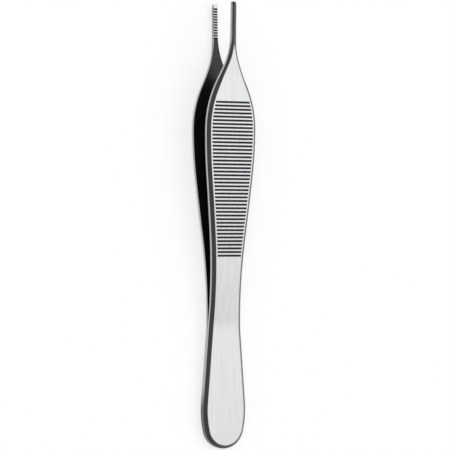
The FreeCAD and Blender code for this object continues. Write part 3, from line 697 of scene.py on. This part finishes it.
@dataclass(frozen=True)
class SatinSteel:
    """Stainless steel with a satin face, brushed lengthwise, with shade painted onto its bevels,
    sides, tips, inner faces and cuts as darker colour.
    """

    pose: Pose
    name: str = "satin_steel"
    bright: Colour = (0.70, 0.705, 0.71, 1.0)
    dull: Colour = (0.60, 0.608, 0.615, 1.0)
    # Painted shade: the sides are coloured darker than the faces.
    side: Colour = (0.46, 0.465, 0.475, 1.0)
    # Painted shade: the dark colour of the bevels, of the sides at the heel and of the tips' outer
    # faces.
    edge: Colour = (0.09, 0.092, 0.096, 1.0)
    # Painted shade: the inner faces' near-black colour stands in for the shade between the arms.
    inside: Colour = (0.055, 0.056, 0.06, 1.0)
    # Painted shade: the dark colour in the walls of the grooves and serrations.
    cut: Colour = (0.13, 0.132, 0.138, 1.0)
    face_roughness: float = 0.34
    flank_roughness: float = 0.24
    cloud_roughness: float = 0.16
    brush_roughness: float = 0.1
    cut_roughness: float = 0.15
    brush_length: float = 14.0
    brush_pitch: float = 0.16
    brush_detail: float = 2.0
    brush_height: float = 0.6
    streak_pitch: float = 0.8
    streak_detail: float = 3.0
    streak_height: float = 0.8
    streak_share: float = 0.6
    mark_depth: float = 0.0016
    mark_grain: float = 0.55
    cloud_size: float = 16.0
    cloud_detail: float = 4.0
    cloud_grain: float = 0.6
    noise_middle: float = 0.5
    face_contrast: Band = (0.3, 0.7)
    bevel_steepness: Band = (0.3, 0.5)
    flank_steepness: Band = (0.86, 0.97)
    cut_tilt: Band = (0.25, 0.5)
    inner_facing: Band = (0.5, 0.8)
    tip_facing: float = 0.3
    teeth_lead: float = 0.6
    teeth_margin: float = 0.2
    # Painted shade: the sides darken towards the heel and, less, towards the tips, over these places
    # along the arm.
    painted_heel_shade: Band = (10.0, 18.0)
    painted_blade_shade: Band = (102.0, 109.0)
    # Painted shade: the tips' outer faces darken over these places along the arm.
    painted_tip_shade: Band = (106.5, 109.0)
    heel_shade_strength: float = 0.9
    blade_shade_strength: float = 0.35

    def make(self) -> bpy.types.Material:
        """Makes the material.

        Returns:
            The material.
        """
        material = bpy.data.materials.new(self.name)
        material.use_nodes = True
        bench = Bench(material.node_tree)
        spot = self.spot(bench)
        flank = spot.steepness.rise(*self.flank_steepness)
        in_cut = self.cuts(spot)
        brush = self.streaks(bench, spot.place, self.brush_pitch, self.brush_detail)
        streak = self.streaks(bench, spot.place, self.streak_pitch, self.streak_detail)
        cloud = bench.signal("ShaderNodeTexNoise", 0, None, {
            "Vector": spot.place, "Scale": 1 / self.cloud_size, "Detail": self.cloud_detail,
            "Roughness": self.cloud_grain})
        shade = streak * self.streak_share + cloud * (1 - self.streak_share)
        face = bench.mix(shade.rise(*self.face_contrast), self.dull, self.bright)
        roughness = (flank * (self.flank_roughness - self.face_roughness) + self.face_roughness
                     + (cloud - self.noise_middle) * self.cloud_roughness
                     + (streak - self.noise_middle) * self.brush_roughness
                     + (brush - self.noise_middle) * self.brush_roughness
                     + in_cut * self.cut_roughness)
        bump = bench.signal("ShaderNodeBump", 0, None, {
            "Height": brush * self.brush_height + streak * self.streak_height, "Strength": 1.0,
            "Distance": self.mark_depth * MILLIMETRE})
        shader = bench.node("ShaderNodeBsdfPrincipled", inputs={
            "Base Color": self.tone(bench, spot, face, flank, in_cut), "Roughness": roughness,
            "Metallic": 1.0, "Normal": bump})
        bench.node("ShaderNodeOutputMaterial", inputs={0: shader.outputs[0]})
        return material

    def spot(self, bench: Bench) -> Spot:
        """Reads a point's place and normal on the arm as it is drawn, before it is laid down.

        Args:
            bench: The material's nodes.

        Returns:
            The point, in millimetres.
        """
        coordinates = bench.node("ShaderNodeTexCoord")
        back = Matrix.Rotation(self.pose.lean, 3, "Y")
        place = bench.signal("ShaderNodeMapping", 0, {"vector_type": "POINT"}, {
            "Vector": coordinates.outputs["Object"], "Location": -(back @ self.pose.tail),
            "Rotation": (0.0, self.pose.lean, 0.0), "Scale": (1 / MILLIMETRE,) * 3})
        normal = bench.signal("ShaderNodeMapping", 0, {"vector_type": "NORMAL"}, {
            "Vector": coordinates.outputs["Normal"], "Rotation": (0.0, self.pose.lean, 0.0)})
        where = bench.node("ShaderNodeSeparateXYZ", inputs={0: place})
        along, up = Signal(bench, where.outputs[0]), Signal(bench, where.outputs[2])
        ways = bench.node("ShaderNodeSeparateXYZ", inputs={0: normal})
        tilt, sideways, facing = (Signal(bench, ways.outputs[k]) for k in range(3))
        steepness = (tilt * tilt + sideways * sideways) ** 0.5
        return Spot(place, along, tilt, steepness, facing * up.sign())

    def teeth(self, spot: Spot) -> Signal:
        """Whether a point lies as far forward as the serrations."""
        arm = Arm("sizes", Side.UPPER, self.pose)
        return spot.along > arm.serrations()[0] - arm.serration_pitch * self.teeth_lead

    def cuts(self, spot: Spot) -> Signal:
        """The share of a cut's wall in a point's surface.

        Args:
            spot: The point on the arm.

        Returns:
            The share, in the grooves of the grip and the serrations of the tip.
        """
        arm = Arm("sizes", Side.UPPER, self.pose)
        wall = abs(spot.tilt).rise(*self.cut_tilt)
        groove = (wall * (spot.outward > 0.0)
                  * (spot.along > arm.grooves()[0] - arm.groove_pitch)
                  * (spot.along < arm.groove_front + arm.groove_pitch))
        tooth = (wall * (spot.outward < 0.0) * self.teeth(spot)
                 * (spot.along < arm.length - self.teeth_margin))
        return groove + tooth

    def tone(self, bench: Bench, spot: Spot, face: Signal, flank: Signal,
             in_cut: Signal) -> Signal:
        """Colours the faces, and paints shade as darker colour onto the bevels, the tips, the sides
        (most at the heel), the inner faces and the cuts.

        Args:
            bench: The material's nodes.
            spot: The point on the arm.
            face: The colour of the brushed faces.
            flank: The share of a side in the point's surface.
            in_cut: The share of a cut's wall in it.

        Returns:
            The colour.
        """
        # Painted shade on the sides at the heel and, less, near the tips.
        ends = ((1.0 - spot.along.rise(*self.painted_heel_shade))
                + spot.along.rise(*self.painted_blade_shade) * self.blade_shade_strength)
        # Painted shade: the sides, darker than the faces, darkest at the heel and darker towards the
        # tips.
        sides = bench.mix(ends * self.heel_shade_strength, self.side, self.edge)
        # Painted shade: the bevels take the dark edge colour.
        bevelled = spot.steepness.rise(*self.bevel_steepness) * (1.0 - flank)
        # Painted shade on the outer face of the tip, in the dark edge colour.
        tip = spot.along.rise(*self.painted_tip_shade) * (spot.outward > self.tip_facing)
        outside = bench.mix(bevelled + tip * (1.0 - bevelled), face, self.edge)
        # Painted shade: the inner faces, apart from the serrated tips, are nearly black.
        inner = (0.0 - spot.outward).rise(*self.inner_facing) * (1.0 - self.teeth(spot))
        whole = bench.mix(inner, bench.mix(flank, outside, sides), self.inside)
        # Painted shade in the walls of the grooves and serrations.
        return bench.mix(in_cut, whole, self.cut)

    def streaks(self, bench: Bench, place: Signal, pitch: float, detail: float) -> Signal:
        """Brush marks along the arm.

        Args:
            bench: The material's nodes.
            place: The point on the arm, in millimetres.
            pitch: About how far the marks lie apart.
            detail: How much finer the finest ones are.

        Returns:
            The marks, about one half on average.
        """
        stretched = bench.signal("ShaderNodeVectorMath", 0, {"operation": "MULTIPLY"}, {
            0: place, 1: (1 / self.brush_length, 1 / pitch, 1 / pitch)})
        return bench.signal("ShaderNodeTexNoise", 0, None, {
            "Vector": stretched, "Scale": 1.0, "Detail": detail, "Roughness": self.mark_grain})


@dataclass(frozen=True)
class Table:
    """The white table that the forceps lie on, and the room round it."""

    size: float = 6.0
    colour: Colour = (0.9, 0.9, 0.9, 1.0)
    white: Colour = (1.0, 1.0, 1.0, 1.0)
    glow: float = 1.21
    glow_share: float = 0.55
    ceiling: Colour = (0.82, 0.825, 0.83, 1.0)
    wall: Colour = (0.30, 0.303, 0.31, 1.0)
    backdrop_end: Band = (0.1, 0.2)
    wall_end: Band = (0.2, 0.9)

    def build(self) -> bpy.types.Object:
        """Makes the table's top and sets the room's light.

        Returns:
            The table's top.
        """
        deselect()
        bpy.ops.mesh.primitive_plane_add(size=self.size)
        top = bpy.context.object
        top.name = "table"
        top.data.materials.append(self.finish())
        world = bpy.data.worlds.new("room")
        bpy.context.scene.world = world
        world.use_nodes = True
        bench = Bench(world.node_tree)
        way = bench.node("ShaderNodeSeparateXYZ", inputs={
            0: bench.node("ShaderNodeTexCoord").outputs["Generated"]})
        height = Signal(bench, way.outputs[2])
        room = bench.mix(height.rise(*self.wall_end), self.wall, self.ceiling)
        light = bench.node("ShaderNodeBackground", inputs={
            0: bench.mix(height.rise(*self.backdrop_end), self.white, room), 1: 1.0})
        bench.node("ShaderNodeOutputWorld", inputs={0: light.outputs[0]})
        return top

    def finish(self) -> bpy.types.Material:
        """The white top, which looks white to the camera and in the steel, and keeps its shadow."""
        material = bpy.data.materials.new("white_top")
        material.use_nodes = True
        bench = Bench(material.node_tree)
        path = bench.node("ShaderNodeLightPath")
        seen = [Signal(bench, path.outputs[name])
                for name in ("Is Camera Ray", "Is Glossy Ray", "Is Transmission Ray")]
        share = bench.maths("MINIMUM", seen[0] + seen[1] + seen[2], 1.0)
        paper = bench.node("ShaderNodeBsdfDiffuse", inputs={0: self.colour})
        sheen = bench.node("ShaderNodeEmission", inputs={0: self.white, 1: self.glow})
        shader = bench.node("ShaderNodeMixShader", inputs={
            0: share * self.glow_share, 1: paper.outputs[0], 2: sheen.outputs[0]})
        bench.node("ShaderNodeOutputMaterial", inputs={0: shader.outputs[0]})
        return material


@dataclass(frozen=True)
class Softbox:
    """A large soft lamp that shines at the forceps."""

    name: str
    direction: tuple[float, float, float]
    distance: float
    width: float
    height: float
    radiance: float

    def build(self) -> bpy.types.Object:
        """Makes the lamp.

        Returns:
            The lamp.
        """
        lamp = bpy.data.lights.new(self.name, "AREA")
        lamp.shape = "RECTANGLE"
        lamp.size, lamp.size_y = self.width, self.height
        lamp.energy = self.radiance * math.pi * self.width * self.height
        holder = bpy.data.objects.new(self.name, lamp)
        bpy.context.scene.collection.objects.link(holder)
        toward = Vector(self.direction).normalized()
        holder.location = toward * self.distance
        holder.rotation_euler = toward.to_track_quat("Z", "Y").to_euler()
        holder.visible_camera = False
        return holder


@dataclass(frozen=True)
class Camera:
    """The photograph's view: down on the upper arm and a little from its side, tips at the top."""

    pose: Pose
    turn: float = math.radians(28.0)
    lens: float = 200.0
    sensor: float = 36.0
    frame_height: float = 121.2
    middle: float = 60.15
    aside: float = 0.41
    roll: float = math.radians(0.15)
    near_share: float = 0.1
    far_share: float = 100.0

    def build(self) -> bpy.types.Object:
        """Makes the camera and gives it to the scene.

        Returns:
            The camera.
        """
        data = bpy.data.cameras.new("camera")
        data.lens, data.sensor_width = self.lens, self.sensor
        lay = self.pose.matrix(Side.UPPER)
        turn = lay.to_3x3().normalized()
        up = turn @ Vector((1.0, 0.0, 0.0))
        back = turn @ Vector((0.0, math.sin(self.turn), math.cos(self.turn)))
        right = up.cross(back)
        distance = self.frame_height * MILLIMETRE * self.lens / self.sensor
        aim = lay @ Vector((self.middle, 0.0, 0.0)) + right * self.aside * MILLIMETRE
        camera = bpy.data.objects.new("camera", data)
        bpy.context.scene.collection.objects.link(camera)
        level = Matrix((right, up, back)).transposed().to_4x4()
        camera.matrix_world = (Matrix.Translation(aim + back * distance) @ level
                               @ Matrix.Rotation(self.roll, 4, "Z"))
        data.clip_start, data.clip_end = distance * self.near_share, distance * self.far_share
        bpy.context.scene.camera = camera
        return camera


def main() -> None:
    """Builds the forceps and the studio."""
    logging.basicConfig(level=logging.INFO, format="%(message)s")
    bpy.context.scene.view_settings.view_transform = "Standard"
    pose = Pose()
    steel = SatinSteel(pose).make()
    for arm in (Arm("upper_blade", Side.UPPER, pose), Arm("lower_blade", Side.LOWER, pose)):
        blade = arm.build()
        blade.data.materials.append(steel)
        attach(blade, "root")
        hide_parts("upper_arm" if arm.side is Side.UPPER else "lower_arm")
        LOG.info("%s: %d faces", arm.name, len(blade.data.polygons))
    table = Table().build()
    for lamp in (
        Softbox("key", direction=(0.03, -0.469, 0.883), distance=0.75, width=0.45, height=0.5,
                radiance=0.62),
        Softbox("overhead", direction=(0.25, 0.45, 1.0), distance=0.9, width=0.6, height=0.5,
                radiance=1.0),
    ):
        lamp.build()
        LOG.info("lamp %s", lamp.name)
    Camera(pose).build()


if __name__ == "__main__":
    main()
